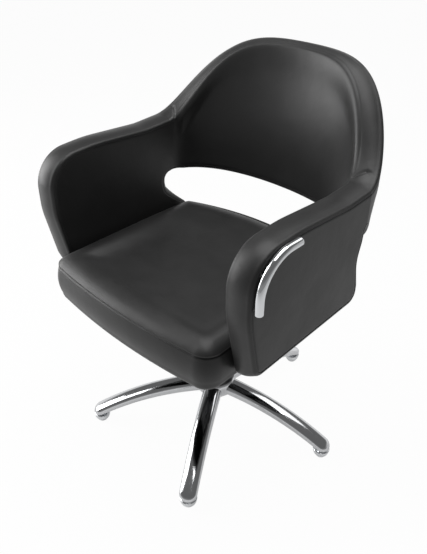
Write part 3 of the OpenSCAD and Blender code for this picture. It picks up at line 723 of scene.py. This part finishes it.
@dataclass
class BackPad(Upholstery):
    """Wrap-round back over the open slot: inner panel with a rolled border, band and outer panel."""

    depth: float = 111.0
    lean_deg: float = 8.5
    top: float = 885.0
    thin: float = 45.0
    # Powers of the superellipse from above, low and high, and of the top line
    low_power: float = 2.1
    high_power: float = 1.97
    top_power: float = 4.1
    lead: float = 4.0
    lead_run: float = 0.12
    thin_power: float = 0.7
    # Taper of the wall over the slot, with its angles in degrees from the seam
    low_taper: float = 17.0
    taper_rise: float = 118.0
    taper_curve: float = 0.3
    taper_from: float = 17.0
    taper_hold: float = 22.0
    taper_till: float = 58.0
    # Band and rolled border. They come up over these angles in radians from the seam
    border_span: tuple = (0.02, 0.24)
    band_turn: float = 10.0
    band_end: float = 9.5
    band_crown: float = 3.0
    roll: float = 5.0
    roll_least: float = 0.3
    roll_power: float = 1.2
    # Valley between the band and the border, as (depth, inset), and the border, as (share of the roll, inset)
    valley: tuple = (
        (8.8, 0.3), (7.9, 0.8), (7.0, 1.5), (6.1, 2.1), (5.0, 2.5), (3.8, 2.8), (2.5, 3.3), (1.2, 4.1), (0.0, 5.1)
    )
    border: tuple = (
        (0.3, 6.8), (0.56, 9.2), (0.76, 12.2), (0.91, 16), (1.0, 21), (0.96, 28), (0.76, 38), (0.45, 49), (0.18, 60)
    )
    # Crease of the seam that crosses the band: its depth, half width, place behind the seam and slant
    dip_depth: float = 3.2
    dip_half: float = 2.2
    dip_set_back: float = 13.0
    dip_slant: float = 0.65
    dip_in: tuple = (-2.0, 4.0)
    dip_out: tuple = (0.5, 0.8)
    band_inset: float = 6.0
    # Swell of the panels under the foam's pressure
    inner_belly: float = 3.0
    border_lean: float = 0.1
    outer_belly: float = 2.0
    inner_rows: int = 14
    outer_rows: int = 18
    stations: int = 200
    # Stations lie closer together near the seams, where the top rises steeply
    evenness: float = 0.45

    def back_edge(self, wall: float, roll: float) -> np.ndarray:
        """Profile over the back's edge, whose inner panel rolls up over the seam.

        Args:
            wall: thickness there.
            roll: how far the inner panel's roll stands proud.

        Returns:
            As many points as arm_edge gives.
        """
        over = self.outer_half(wall, self.band_turn, self.band_end, self.band_crown)
        border = [(-share * roll, inset) for share, inset in self.border]
        return np.array(over + list(self.valley) + border)

    def dip(self, y: float, depth: float) -> float:
        """How far the band is drawn down by the seam that crosses it.

        Args:
            y: place along the chair.
            depth: distance from the inner face.

        Returns:
            A drop in mm.
        """
        end, gone = (share * self.wall for share in self.dip_out)
        across = smooth(depth, *self.dip_in) * (1 - smooth(depth, end, gone))
        line = self.seam_y + self.dip_set_back + self.dip_slant * np.clip(depth, 0, end)
        return float(self.dip_depth * across * np.exp(-(((y - line) / self.dip_half) ** 2)))

    def rise_share(self, a: float) -> float:
        """Share of the slot's outer rise that is left at an angle."""
        away = math.degrees(min(a, math.pi - a))
        return 1 - float(smooth(away, 0, self.taper_from))

    def taper_share(self, a: float) -> float:
        """Share of the wall's taper over the slot at an angle."""
        away = math.degrees(min(a, math.pi - a))
        return (1 - self.rise_share(a)) * (1 - float(smooth(away, self.taper_hold, self.taper_till)))

    def thickness(self, a: float, z: float) -> float:
        """Thickness of the wall.

        Args:
            a: angle round the chair.
            z: height.

        Returns:
            Millimetres.
        """
        full = mix(self.wall, self.thin, abs(math.sin(a)) ** self.thin_power)
        low = 1 - min(max((z - self.slot_top) / self.taper_rise, 0), 1)
        return full - self.low_taper * self.taper_share(a) * mix(low, low * low, self.taper_curve)

    def rise(self, a: float) -> float:
        """Share of the back's height that its top has at an angle round the chair."""
        return 1 - abs(math.cos(a)) ** self.top_power

    def point(self, a: float, depth: float, z: float) -> tuple:
        """Point of the shell.

        Args:
            a: angle round the chair, 0 at the left seam.
            depth: distance outwards from the inner face.
            z: height.

        Returns:
            (x, y, z) in mm.
        """
        share = (z - self.slot_top) / (self.top - self.slot_top)
        n = mix(self.low_power, self.high_power, share)
        across = (self.arm_in + depth) * power_curve(math.cos(a), n)
        lean = (z - self.slot_top) * math.tan(math.radians(self.lean_deg))
        back = (self.depth + lean + depth) * power_curve(math.sin(a), n)
        return float(across), float(self.seam_y + back), float(z)

    def section(self, a: float) -> np.ndarray:
        """Closed section at a station.

        Args:
            a: angle round the chair.

        Returns:
            (x, y, z) points: over the band, down the inner panel, round the slot's edge and up the outer panel.
        """
        away = min(a, math.pi - a)
        lead = self.lead * (1 - math.exp(-away / self.lead_run))
        high = mix(self.seam_top + lead, self.top - self.band_crown, self.rise(a))
        wall = self.thickness(a, high)
        blend = float(smooth(away, *self.border_span))
        roll = self.roll * blend * mix(self.roll_least, 1.0, abs(math.cos(a)) ** self.roll_power)
        even = self.arm_edge() * np.array([wall / self.wall, 1.0])
        over = mix(even, self.back_edge(wall, roll), blend)
        under = self.arm_edge()[::-1]
        rise = self.slot_rise * self.rise_share(a)
        section = []
        for depth, inset in over:
            x, y, z = self.point(a, depth, high - inset)
            section.append((x, y, z - self.dip(y, depth) * (inset < self.band_inset)))
        for s in np.linspace(0, 1, self.inner_rows)[1:-1]:
            z = mix(high - over[-1, 1], self.slot_top + under[0, 1], s)
            belly = self.inner_belly * math.sin(a) * math.sin(math.pi * s) + self.border_lean * roll * (1 - s)
            section.append(self.point(a, -belly, z))
        for depth, inset in under:
            z = self.slot_top + inset + rise * depth / self.wall
            section.append(self.point(a, depth / self.wall * self.thickness(a, z), z))
        for s in np.linspace(0, 1, self.outer_rows)[1:-1]:
            z = mix(self.slot_top + under[-1, 1] + rise, high - over[0, 1], s)
            belly = self.outer_belly * math.sin(a) * math.sin(math.pi * s)
            section.append(self.point(a, self.thickness(a, z) + belly, z))
        return np.array(section)

    def build(self, finishes: Finishes) -> bpy.types.Object:
        """Makes the back.

        Args:
            finishes: the chair's materials.

        Returns:
            The padded piece.
        """
        even = np.linspace(0, math.pi, self.stations + 1)
        crowded = math.pi * (0.5 - 0.5 * np.cos(even))
        rings = np.array([self.section(float(a)) for a in mix(crowded, even, self.evenness)])
        piece = Mesh.closed(rings).build("back_upholstery")
        dress(piece, finishes.leatherette)
        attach(piece, "seat")
        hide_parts("back_pad")
        return piece


@dataclass
class SeatCushion:
    """Seat with a crowned front roll, a dished middle and a sewn seam round its top edge, in mm."""

    half: float = 235.0
    front: float = 286.0
    rear: float = 188.0
    bow: float = 18.5
    corner: float = 39.0
    # The rear edge is bowed too, and its corners are tighter than the front ones
    rear_bow: float = 50.0
    rear_corner: float = 26.0
    rear_drop: float = 8.0
    bottom: float = 392.0
    low_round: float = 25.0
    seam: float = 481.0
    # The border swells more at the front than beside the brackets
    bulge: float = 5.0
    side_bulge: float = 2.5
    bulge_from: float = -110.0
    bulge_run: float = 80.0
    bulge_power: float = 0.8
    border_top: float = 6.0
    # Sewn groove, as (inset, height over the seam)
    groove: tuple = ((0.2, -4.5), (0.6, -3.0), (1.8, -1.6), (3.2, -0.9), (3.4, -0.2), (2.0, 0.4), (0.9, 1.2))
    # Height of the top over the seam, by the distance inside the edge
    crown_insets: tuple = (0, 2, 5, 10, 17, 26, 36, 46, 58, 72, 90, 115, 150, 240)
    crown_rises: tuple = (0.0, 3.4, 6.6, 10.6, 14.6, 17.8, 19.6, 20.0, 18.4, 15.2, 11.8, 9.8, 9.0, 9.0)
    # Rings near the edge keep their distance from it, and the others shrink towards the middle
    rim_insets: tuple = (1.2, 2, 3.2, 5, 7.5, 10, 13.5, 17)
    rim_lift: float = 1.6
    top_insets: tuple = (21, 26, 31, 36, 42, 48, 54, 60, 67, 74, 83, 92, 106, 120, 145, 170, 195)
    least_reach: float = 205.0

    def outline(self) -> np.ndarray:
        """Outline from above.

        Returns:
            (x, y) points, anticlockwise.
        """
        flat = self.half - self.corner
        corner_y = -self.front + self.bow * (flat / self.half) ** 2 + self.corner
        xs = np.linspace(-flat, flat, 41)
        front = np.column_stack([xs, -self.front + self.bow * (xs / self.half) ** 2])
        turn = arc_steps(19)[1:]
        right = np.column_stack([flat + self.corner * np.sin(turn), corner_y - self.corner * np.cos(turn)])
        lean = math.atan(2 * self.rear_bow / self.half)
        arc = np.linspace(0, math.pi / 2 - lean, 15)
        inner = self.half - self.rear_corner
        end = inner + self.rear_corner * math.sin(lean)
        start_y = self.rear - self.rear_bow * (end / self.half) ** 2 - self.rear_corner * math.cos(lean)
        bend = np.column_stack([inner + self.rear_corner * np.cos(arc), start_y + self.rear_corner * np.sin(arc)])
        across = np.linspace(end, -end, 61)[1:-1]
        bow = np.column_stack([across, self.rear - self.rear_bow * (across / self.half) ** 2])
        side = np.linspace(corner_y, start_y, 33)[1:-1]
        edge = np.column_stack([np.full(len(side), self.half), side])
        mirror = np.array([-1, 1])
        return np.concatenate([
            front, right, edge, bend, bow, bend[::-1] * mirror, edge[::-1] * mirror, (right[::-1] * mirror)[:-1]
        ])

    def crown(self, inset: float) -> float:
        """Height of the top at a distance inside its edge."""
        return self.seam + float(np.interp(inset, self.crown_insets, self.crown_rises))

    def border_rows(self) -> list:
        """Rows of the underside's edge, the border and the groove.

        Returns:
            (inset, height) pairs. A negative inset is the share of the border's swell.
        """
        low, high = self.bottom + self.low_round, self.seam - self.border_top
        rows = [
            (self.low_round * (1 - math.cos(a)), self.bottom + self.low_round * (1 - math.sin(a)))
            for a in arc_steps(8)[::-1]
        ]
        rows += [(-math.sin(math.pi * s) ** self.bulge_power, mix(low, high, s)) for s in np.linspace(0.1, 0.9, 9)]
        return rows + [(inset, self.seam + rise) for inset, rise in self.groove]

    def top_ring(self, ring: np.ndarray, z: float, middle: np.ndarray) -> np.ndarray:
        """Ring of the top, which falls towards the rear."""
        back = np.clip((ring[:, 1] - middle[1]) / (self.rear - middle[1]), 0, 1)
        return np.column_stack([ring, z - self.rear_drop * back**2])

    def rings(self) -> np.ndarray:
        """Rings from the underside over the border, the seam and the top.

        Returns:
            An (m, n, 3) array.
        """
        line = self.outline()
        inward = inward_normals(line)
        middle = np.array([0.0, (self.rear - self.front) / 2])
        ahead = smooth(self.bulge_from - line[:, 1], 0, self.bulge_run)
        swell = mix(self.side_bulge, self.bulge, ahead)[:, None]
        out = []
        for inset, z in self.border_rows():
            moved = line + inward * (inset if inset >= 0 else swell * inset)
            out.append(np.column_stack([moved, np.full(len(line), z)]))
        for inset in self.rim_insets:
            # The first ring starts out of the groove
            z = self.crown(inset) + (self.rim_lift if inset == self.rim_insets[0] else 0)
            out.append(self.top_ring(line + inward * inset, z, middle))
        rim = self.rim_insets[-1]
        edge = line + inward * rim
        reach = np.maximum(np.linalg.norm(edge - middle, axis=1), self.least_reach)
        for inset in self.top_insets:
            ring = mix(edge, middle, ((inset - rim) / reach)[:, None])
            out.append(self.top_ring(ring, self.crown(inset), middle))
        return np.array(out)

    def build(self, finishes: Finishes) -> bpy.types.Object:
        """Makes the seat cushion.

        Args:
            finishes: the chair's materials.

        Returns:
            The padded piece.
        """
        piece = Mesh.closed(self.rings(), 2).build("seat_upholstery")
        dress(piece, finishes.leatherette)
        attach(piece, "seat")
        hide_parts("seat_cushion")
        return piece


# ---------------------------------------------------------------- bright metal


@dataclass
class ArmBar:
    """Chromed bar on the left arm: level, bent through a quarter turn, then upright. Sizes in mm."""

    x: float = 308.0
    bend: float = 73.0
    front: float = -227.0
    top: float = 700.0
    level: float = 26.0
    drop: float = 24.0
    radius: float = 8.0
    end_round: float = 3.0
    sides: int = 48
    bend_steps: int = 41
    end_steps: int = 7

    def path(self) -> list:
        """Middle line of the bar.

        Returns:
            Places and directions, as (y, z, way y, way z).
        """
        turn_y, turn_z = self.front + self.bend, self.top - self.bend
        line = [(turn_y + self.level, self.top, -1.0, 0.0)]
        for a in arc_steps(self.bend_steps):
            c, s = math.cos(a), math.sin(a)
            line.append((turn_y - self.bend * s, turn_z + self.bend * c, -c, -s))
        line.append((self.front, turn_z - self.drop, 0.0, -1.0))
        return line

    def end_circles(self, place: tuple, toward: int) -> list:
        """Circles of an eased end.

        Args:
            place: the end's (y, z, way y, way z).
            toward: 1 where the bar starts, -1 where it ends.

        Returns:
            (y, z, way y, way z, radius) from the end's face inwards.
        """
        y, z, way_y, way_z = place
        circles = []
        for a in arc_steps(self.end_steps):
            along = toward * self.end_round * (1 - math.cos(a))
            r = self.radius - self.end_round * (1 - math.sin(a))
            circles.append((y + way_y * along, z + way_z * along, way_y, way_z, r))
        return circles

    def build(self, finishes: Finishes) -> bpy.types.Object:
        """Makes the bar with eased ends.

        Args:
            finishes: the chair's materials.

        Returns:
            The piece.
        """
        line = self.path()
        circles = self.end_circles(line[0], 1) + [(*place, self.radius) for place in line[1:-1]]
        circles += self.end_circles(line[-1], -1)[::-1]
        round_bar = np.linspace(0, 2 * math.pi, self.sides, endpoint=False)
        rings = np.array([
            [
                (self.x + r * math.cos(b), y - way_z * r * math.sin(b), z + way_y * r * math.sin(b))
                for b in round_bar
            ]
            for y, z, way_y, way_z, r in circles
        ])
        piece = Mesh.closed(rings).build("arm_bar_chromed")
        dress(piece, finishes.chrome)
        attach(piece, "seat")
        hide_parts("arm_bar")
        return piece


@dataclass
class StarBase:
    """Polished star base: five arched legs on a hub, each with a bright glide under its tip. Sizes in mm."""

    legs: int = 5
    turn_deg: float = 31.4
    reach: float = 296.0
    root_w: float = 46.0
    tip_w: float = 41.0
    root_h: float = 36.0
    tip_h: float = 24.0
    root_z: float = 103.0
    arch_start: float = 20.0
    power: float = 2.4
    sides: int = 56
    rows: int = 40
    # A leg starts inside the hub, and its rings tip over to their slope along the first stretch
    root_sink: float = 4.0
    slope_run: float = 30.0
    # The rounded tip stops short of a full quarter turn, and its underside is flat this far over the glide
    tip_turn_deg: float = 86.0
    tip_rows: int = 13
    tip_flat: float = 60.0
    glide_r: float = 20.0
    glide_h: float = 22.0
    glide_foot_r: float = 13.2
    # Bowl of the glide: its pad's recess, its foot and its side, as (along from a radius, height)
    glide_recess: float = 3.6
    glide_foot: tuple = ((-1.2, 3.6), (-0.6, 2.2), (1.0, 3.0))
    glide_side: tuple = ((-2.2, 9.0), (-0.1, 17.0))
    glide_easing: float = 2.4
    hub_flat: float = 46.0
    hub_h: float = 46.0
    # Hub's profile, as (out from its flats, up from its lower or upper face)
    hub_foot: tuple = ((-10.0, 0.0), (0.0, 5.0), (3.0, 16.0))
    hub_head: tuple = ((3.0, -12.0), (-1.0, -3.0), (-8.0, 0.0))
    hub_easing: float = 5.0
    hub_lobe: float = 1.6
    hub_sides: int = 120
    crease_deg: float = 60.0

    def angle(self, k: int) -> float:
        """Direction of a leg in radians, counted from +X."""
        return math.radians(self.turn_deg + 360 / self.legs * (k - 1) - 90)

    def centre(self, r: float) -> tuple:
        """Middle line of a leg.

        Args:
            r: distance from the axis.

        Returns:
            (height, slope in radians) there.
        """
        fall = self.root_z - (self.glide_h + self.tip_h / 2)
        span = self.reach - self.arch_start
        arc = (span**2 + fall**2) / (2 * fall)
        out = max(r - self.arch_start, 0)
        return self.root_z - arc + math.sqrt(arc**2 - out**2), math.asin(out / arc)

    def leg_ring(self, r: float, push: float, scale: float, slope: float) -> list:
        """Points round a leg. The lower half keeps its height at the tip, so that it meets the glide.

        Args:
            r: distance of the ring's foot from the axis.
            push: how far the ring is moved on along the slope.
            scale: share of the full section.
            slope: tilt in radians.

        Returns:
            (x, y, z) points along +X.
        """
        share = (r - self.hub_flat) / (self.reach - self.hub_flat)
        w = mix(self.root_w, self.tip_w, share) * scale
        h = mix(self.root_h, self.tip_h, share) * scale
        z = self.centre(r)[0]
        ring = []
        for a in np.linspace(0, 2 * math.pi, self.sides, endpoint=False):
            across = float(power_curve(math.cos(a), self.power)) * w / 2
            up = float(power_curve(math.sin(a), self.power)) * (h if math.sin(a) > 0 else h / scale) / 2
            ring.append((r + push * math.cos(slope) + up * math.sin(slope), across,
                         z - push * math.sin(slope) + up * math.cos(slope)))
        return ring

    def leg(self, k: int, finishes: Finishes) -> bpy.types.Object:
        """Makes one leg, cut flat over its glide.

        Args:
            k: number of the leg.
            finishes: the chair's materials.

        Returns:
            The piece.
        """
        rings = [self.leg_ring(self.hub_flat - self.root_sink, 0, 1, 0)]
        for r in np.linspace(self.hub_flat, self.reach, self.rows):
            slope = self.centre(r)[1] * float(smooth(r, self.hub_flat, self.hub_flat + self.slope_run))
            rings.append(self.leg_ring(r, 0, 1, slope))
        tip = self.centre(self.reach)[1]
        for a in np.linspace(0, math.radians(self.tip_turn_deg), self.tip_rows)[1:]:
            rings.append(self.leg_ring(self.reach, math.sin(a) * self.tip_w / 2, math.cos(a), tip))
        rings = np.array(rings)
        low = (rings[:, :, 2] < self.glide_h) & (rings[:, :, 0] > self.reach - self.tip_flat)
        rings[:, :, 2] = np.where(low, self.glide_h, rings[:, :, 2])
        solid = Mesh.closed(rings)
        c, s = math.cos(self.angle(k)), math.sin(self.angle(k))
        solid.points = [(x * c - y * s, x * s + y * c, z) for x, y, z in solid.points]
        piece = solid.build(f"leg_{k}_polished", self.crease_deg)
        dress(piece, finishes.aluminium)
        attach(piece, "base")
        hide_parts(f"leg_{k}")
        return piece

    def glide(self, k: int, finishes: Finishes) -> bpy.types.Object:
        """Makes the bright cup under a leg's tip.

        Args:
            k: number of the leg.
            finishes: the chair's materials.

        Returns:
            The piece.
        """
        profile = [(0, self.glide_recess)]
        profile += [(self.glide_foot_r + out, z) for out, z in self.glide_foot]
        profile += [(self.glide_r + out, z) for out, z in self.glide_side]
        profile += [(self.glide_r, self.glide_h), (0, self.glide_h)]
        solid = Mesh.turned(eased(profile, self.glide_easing))
        piece = solid.build(f"glide_{k}_polished", self.crease_deg)
        c, s = math.cos(self.angle(k)), math.sin(self.angle(k))
        piece.data.transform(Matrix.Translation(Vector((self.reach * c, self.reach * s, 0)) * MM))
        dress(piece, finishes.chrome)
        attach(piece, "base")
        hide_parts(f"glide_{k}")
        return piece

    def hub(self, finishes: Finishes) -> bpy.types.Object:
        """Makes the hub, whose rounded five-sided body takes the legs.

        Args:
            finishes: the chair's materials.

        Returns:
            The piece.
        """
        low, high = self.root_z - self.hub_h / 2, self.root_z + self.hub_h / 2
        profile = [(0.0, low)] + [(self.hub_flat + out, low + up) for out, up in self.hub_foot]
        profile += [(self.hub_flat + out, high + up) for out, up in self.hub_head] + [(0.0, high)]
        rings = []
        for r, z in eased(profile, self.hub_easing)[1:-1]:
            ring = []
            for i in range(self.hub_sides):
                a = 2 * math.pi * i / self.hub_sides
                out = r + self.hub_lobe * math.cos(self.legs * (a - self.angle(1)))
                ring.append((out * math.cos(a), out * math.sin(a), z))
            rings.append(ring)
        piece = Mesh.closed(np.array(rings)).build("hub_polished", self.crease_deg)
        dress(piece, finishes.aluminium)
        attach(piece, "base")
        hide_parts("hub")
        return piece

    def build(self, finishes: Finishes) -> list:
        """Makes the whole base.

        Args:
            finishes: the chair's materials.

        Returns:
            Its pieces.
        """
        pieces = []
        for k in range(1, self.legs + 1):
            pieces += [self.leg(k, finishes), self.glide(k, finishes)]
        return pieces + [self.hub(finishes)]


class CarriedNodes:
    """CAD nodes whose shape stays and that only get a better material."""

    def __init__(self, finishes: Finishes) -> None:
        """Pairs each material with its nodes.

        Args:
            finishes: the chair's materials.
        """
        self.groups = [
            (finishes.chrome, ["gland_nut", "pedal_pin", "piston", "column_cover"]),
            (finishes.aluminium, ["pedal_arm"]),
            (finishes.painted, ["pump_body", "seat_plate", "left_bracket", "right_bracket"]),
            (finishes.zinc, ["leg_bolts", "plate_bolts", "bracket_bolts", "bar_studs"]),
            (finishes.stained, ["seat_board"]),
            (finishes.plywood, ["left_arm_core", "right_arm_core", "core_dowels", "back_core"]),
            (finishes.rubber, ["glide_pads", "pedal_pad", "piston_seal"]),
            (finishes.nylon, ["swivel_washer"]),
        ]

    def dress(self) -> list:
        """Gives each node its material.

        Returns:
            The nodes' objects.
        """
        pieces = []
        for material, names in self.groups:
            for name in names:
                dress(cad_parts[name], material)
                pieces.append(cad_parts[name])
        return pieces


# ---------------------------------------------------------------- studio


@dataclass
class Studio:
    """Plain pale floor, soft lamps and the camera at the photograph's angle. Sizes in metres."""

    camera_at: tuple = (0.7979, -0.8471, 1.2128)
    right: tuple = (0.7242, 0.6896, 0.0)
    up: tuple = (-0.3876, 0.4071, 0.8271)
    back: tuple = (0.5704, -0.5990, 0.5621)
    lens: float = 40.288
    sensor: float = 36.0
    clip: tuple = (0.01, 60.0)
    # Strength of what the metal mirrors: the backdrop behind the chair and the room on the camera's side, each near
    # the horizon and overhead, with the spans of direction and of height over which one turns into the other
    backdrop_way: tuple = (-0.69, 0.72, 0.0)
    backdrop_low: float = 0.95
    backdrop_high: float = 0.15
    room_low: float = 0.27
    room_high: float = 0.15
    turn_span: tuple = (-0.3, 0.6)
    height_span: tuple = (0.12, 0.42)
    white: str = "#ffffff"
    # Floor: half its side, its paint, and its share of plain white to mirrors and to the camera
    floor_half: float = 9.0
    floor_paint: str = "#eeeeee"
    floor_glow: float = 0.42
    floor_white: float = 0.97
    # Lamps look at the chair's middle. Each has a name, a place, a side and its watts
    aim: tuple = (0.0, 0.0, 0.55)
    lamps: tuple = (
        ("left_softbox", (-2.3, -1.2, 1.0), 1.6, 46.0),
        ("left_overhead", (-1.8, -1.4, 2.4), 1.4, 20.0),
        ("overhead", (0.0, 0.1, 2.9), 1.8, 43.0),
        ("back_overhead", (0.3, 1.9, 2.9), 1.6, 13.0),
    )

    def camera(self) -> None:
        """Sets the camera."""
        data = bpy.data.cameras.new("camera")
        data.lens = self.lens
        data.sensor_width = self.sensor
        data.clip_start, data.clip_end = self.clip
        camera = bpy.data.objects.new("camera", data)
        bpy.context.scene.collection.objects.link(camera)
        turn = Matrix((self.right, self.up, self.back)).transposed().to_4x4()
        camera.matrix_world = Matrix.Translation(self.camera_at) @ turn
        bpy.context.scene.camera = camera

    def lamp(self, name: str, at: tuple, size: float, power: float) -> None:
        """Adds a soft square lamp that looks at the chair.

        Args:
            name: its name.
            at: place.
            size: side.
            power: watts.
        """
        data = bpy.data.lights.new(name, "AREA")
        data.size, data.energy = size, power
        lamp = bpy.data.objects.new(name, data)
        bpy.context.scene.collection.objects.link(lamp)
        lamp.location = at
        lamp.rotation_mode = "QUATERNION"
        lamp.rotation_quaternion = (Vector(self.aim) - Vector(at)).to_track_quat("-Z", "Y")

    def world(self) -> None:
        """White to the camera, and to mirrors a pale backdrop that darkens upwards and towards the room.

        It lights nothing else: the lamps do that.
        """
        world = bpy.data.worlds.new("studio")
        bpy.context.scene.world = world
        world.use_nodes = True
        tree = world.node_tree
        tree.nodes.clear()
        path = add(tree, "ShaderNodeLightPath")
        way = add(tree, "ShaderNodeTexCoord").outputs["Generated"]
        behind = add(tree, "ShaderNodeVectorMath", {"operation": "DOT_PRODUCT"}, i0=way, i1=self.backdrop_way)
        height = add(tree, "ShaderNodeSeparateXYZ", Vector=way).outputs["Z"]
        eased_step = {"interpolation_type": "SMOOTHSTEP"}
        levels = []
        for room, backdrop in ((self.room_low, self.backdrop_low), (self.room_high, self.backdrop_high)):
            levels.append(add(
                tree, "ShaderNodeMapRange", eased_step, Value=behind.outputs["Value"], From_Min=self.turn_span[0],
                From_Max=self.turn_span[1], To_Min=room, To_Max=backdrop,
            ).outputs["Result"])
        glow = add(
            tree, "ShaderNodeMapRange", eased_step, Value=height, From_Min=self.height_span[0],
            From_Max=self.height_span[1], To_Min=levels[0], To_Max=levels[1],
        )
        dark = add(tree, "ShaderNodeBackground", Color=linear(self.white), Strength=0.0)
        sweep = add(tree, "ShaderNodeBackground", Color=linear(self.white), Strength=glow.outputs["Result"])
        plain = add(tree, "ShaderNodeBackground", Color=linear(self.white), Strength=1.0)
        mirrored = add(
            tree, "ShaderNodeMixShader", i0=path.outputs["Is Glossy Ray"], i1=dark.outputs["Background"],
            i2=sweep.outputs["Background"],
        )
        seen = add(
            tree, "ShaderNodeMath", {"operation": "MAXIMUM"}, i0=path.outputs["Is Camera Ray"],
            i1=path.outputs["Is Transmission Ray"],
        )
        both = add(
            tree, "ShaderNodeMixShader", i0=seen.outputs["Value"], i1=mirrored.outputs["Shader"],
            i2=plain.outputs["Background"],
        )
        add(tree, "ShaderNodeOutputWorld", Surface=both.outputs["Shader"])

    def floor(self) -> None:
        """Pale floor that keeps a trace of the chair's shadow."""
        h = self.floor_half
        data = bpy.data.meshes.new("floor")
        data.from_pydata([(-h, -h, 0), (h, -h, 0), (h, h, 0), (-h, h, 0)], [], [(0, 1, 2, 3)])
        floor = bpy.data.objects.new("floor", data)
        bpy.context.scene.collection.objects.link(floor)
        material = bpy.data.materials.new("floor_white")
        material.use_nodes = True
        tree = material.node_tree
        tree.nodes.clear()
        path = add(tree, "ShaderNodeLightPath")
        mirrored = add(
            tree, "ShaderNodeMath", {"operation": "MAXIMUM"}, i0=path.outputs["Is Glossy Ray"],
            i1=path.outputs["Is Transmission Ray"],
        )
        glow = add(
            tree, "ShaderNodeMath", {"operation": "MULTIPLY"}, i0=mirrored.outputs["Value"], i1=self.floor_glow
        )
        plain = add(
            tree, "ShaderNodeMath", {"operation": "MULTIPLY"}, i0=path.outputs["Is Camera Ray"], i1=self.floor_white
        )
        share = add(
            tree, "ShaderNodeMath", {"operation": "MAXIMUM"}, i0=glow.outputs["Value"], i1=plain.outputs["Value"]
        )
        paint = add(tree, "ShaderNodeBsdfDiffuse", Color=linear(self.floor_paint))
        light = add(tree, "ShaderNodeEmission", Color=linear(self.white), Strength=1.0)
        both = add(
            tree, "ShaderNodeMixShader", i0=share.outputs["Value"], i1=paint.outputs["BSDF"],
            i2=light.outputs["Emission"],
        )
        add(tree, "ShaderNodeOutputMaterial", Surface=both.outputs["Shader"])
        data.materials.append(material)

    def build(self) -> None:
        """Sets up the whole studio."""
        bpy.context.scene.view_settings.view_transform = "Standard"
        self.camera()
        self.world()
        self.floor()
        for lamp in self.lamps:
            self.lamp(*lamp)


def main() -> None:
    """Builds the studio and the chair, and reports each piece."""
    logging.basicConfig(level=logging.INFO, format="%(message)s")
    Studio().build()
    finishes = Finishes()
    pieces = CarriedNodes(finishes).dress()
    pieces.append(SeatCushion().build(finishes))
    pieces += [ArmPad().build(side, finishes) for side in Side]
    pieces.append(BackPad().build(finishes))
    pieces.append(ArmBar().build(finishes))
    pieces += StarBase().build(finishes)
    for piece in pieces:
        LOG.info("%s: %d faces, %s", piece.name, len(piece.data.polygons), piece.data.materials[0].name)


if __name__ == "__main__":
    main()
